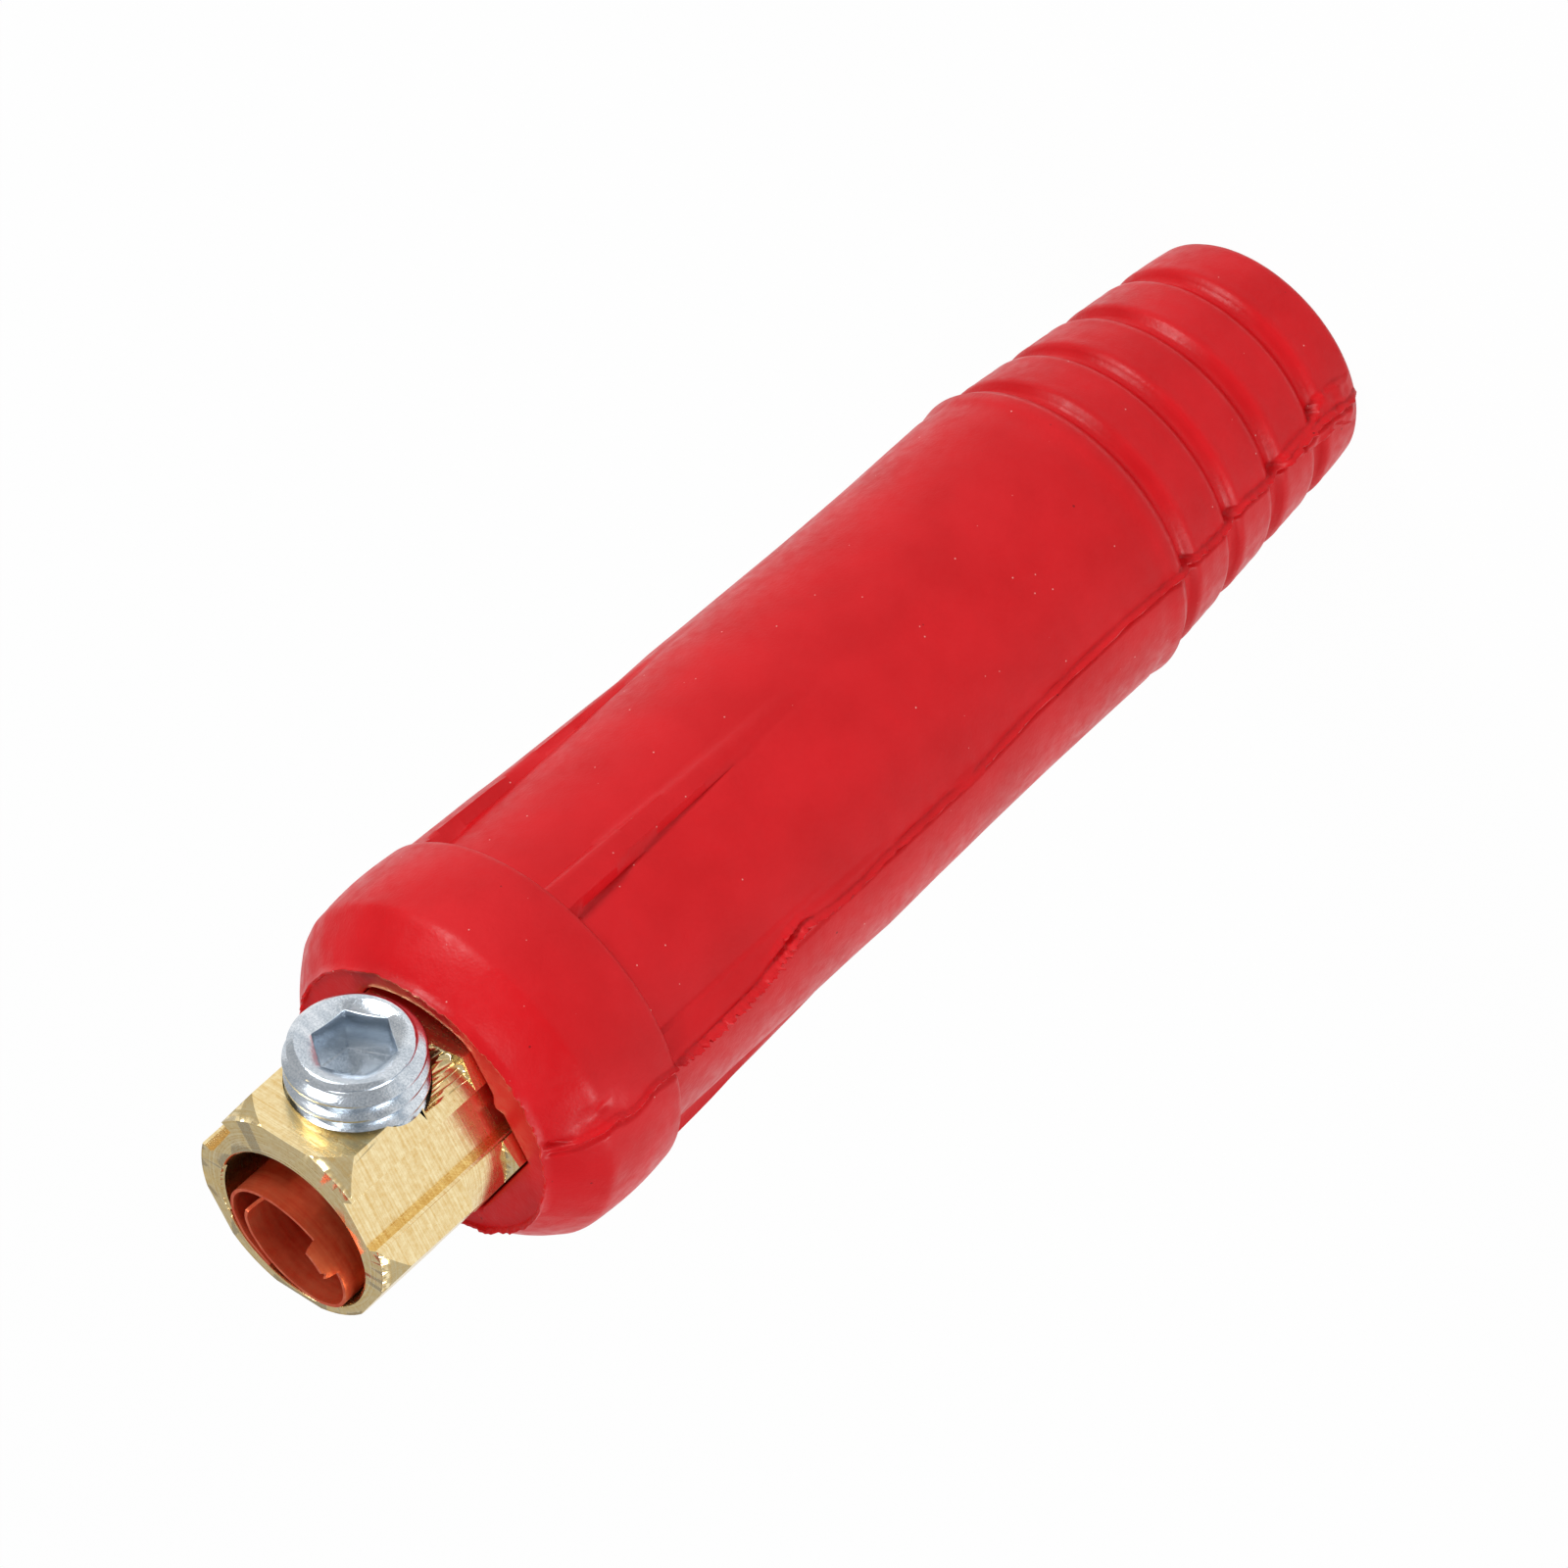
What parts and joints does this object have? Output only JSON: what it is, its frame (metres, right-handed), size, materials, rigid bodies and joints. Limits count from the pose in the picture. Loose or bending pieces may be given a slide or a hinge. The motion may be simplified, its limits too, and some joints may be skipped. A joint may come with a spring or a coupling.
{
  "type": "welding cable plug",
  "caption": "Welding cable plug with a ribbed rubber boot, a hexagonal brass core with a cross clamping screw, and a rolled copper liner, the core's clamp end outwards.",
  "frame": {"origin": "centre of the flat face of the boot's ribbed end, which the plug stands on", "axes": "+Z along the plug's axis, towards the brass core; the clamping screw points to -Y"},
  "size_m": [0.0344, 0.0344, 0.1296],
  "materials": {
    "boot_rubber": "satin moulded rubber",
    "core_brass": "machined",
    "screw_steel": "zinc plated",
    "liner_copper": null
  },
  "bodies": {
    "boot": {"rubber_boot": "boot_rubber"},
    "core": {"brass_core": "core_brass", "copper_liner": "liner_copper"},
    "screw": {"set_screw": "screw_steel"}
  },
  "joints": [
    {"name": "core_slide", "type": "slide", "parent": "boot", "child": "core", "axis": [0, 0, 1], "range_m": [0, 0.035]},
    {"name": "screw_advance", "type": "slide", "parent": "core", "child": "screw", "axis": [0, -1, 0], "range_m": [-0.0012, 0.005]}
  ]
}
